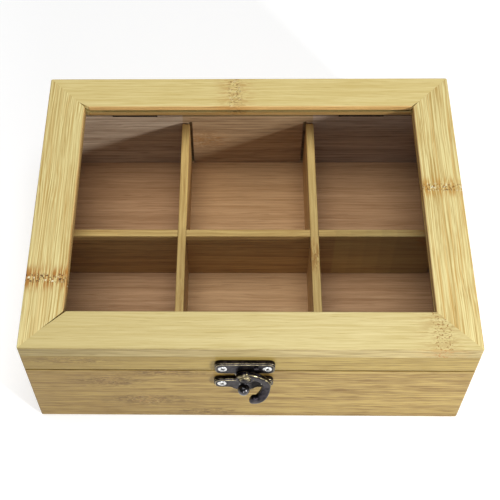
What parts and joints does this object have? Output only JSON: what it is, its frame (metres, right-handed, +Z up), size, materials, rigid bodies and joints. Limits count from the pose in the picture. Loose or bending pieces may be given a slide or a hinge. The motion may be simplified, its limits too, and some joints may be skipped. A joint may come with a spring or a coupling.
{
  "type": "tea bag organizer box",
  "caption": "Hinged bamboo box with a framed clear window lid, crossed dividers that part its inside into compartments for tea bags, and a front hook latch.",
  "frame": {"origin": "on the surface that the box stands on, under the middle of its overall outline, which takes in the latch at the front and the hinges at the back", "axes": "+X to the right as seen from the front, +Y to the back, where the hinges are, +Z up; the latch faces -Y"},
  "size_m": [0.215, 0.177, 0.075],
  "materials": {
    "bamboo_rail": "pale satin bamboo, pressed flat",
    "bamboo_wall": "satin bamboo in strips",
    "bamboo_inner": "matte browner bamboo",
    "clear_pane": "clear sheet, polished",
    "old_bronze": "antiqued dark bronze, worn bright on its edges",
    "bright_steel": "bright plated steel"
  },
  "bodies": {
    "case": {"front_wall": "bamboo_wall", "back_wall": "bamboo_wall", "left_wall": "bamboo_wall", "right_wall": "bamboo_wall", "base_panel": "bamboo_inner", "left_divider": "bamboo_inner", "right_divider": "bamboo_inner", "cross_divider": "bamboo_inner", "left_hinge_case_leaf": "old_bronze", "left_hinge_pin": "old_bronze", "right_hinge_case_leaf": "old_bronze", "right_hinge_pin": "old_bronze", "hinge_case_screws": "old_bronze", "catch_plate": "old_bronze", "catch_plate_screws": "bright_steel", "catch_peg": "old_bronze"},
    "lid": {"front_rail": "bamboo_rail", "back_rail": "bamboo_rail", "left_rail": "bamboo_rail", "right_rail": "bamboo_rail", "window_pane": "clear_pane", "front_skirt": "bamboo_wall", "back_skirt": "bamboo_wall", "left_skirt": "bamboo_wall", "right_skirt": "bamboo_wall", "left_hinge_lid_leaf": "old_bronze", "right_hinge_lid_leaf": "old_bronze", "hinge_lid_screws": "old_bronze", "hook_plate": "old_bronze", "hook_plate_screws": "bright_steel", "hook_rivet": "old_bronze"},
    "hook": {"hook": "old_bronze"}
  },
  "joints": [
    {"name": "lid_hinge", "type": "hinge", "parent": "case", "child": "lid", "pos_m": [0, 0.08687, 0.053], "axis": [-1, 0, 0], "range_deg": [0, 105]},
    {"name": "hook_swing", "type": "hinge", "parent": "lid", "child": "hook", "pos_m": [-0.0019, -0.08417, 0.0541], "axis": [0, -1, 0], "range_deg": [-31, 38]}
  ]
}
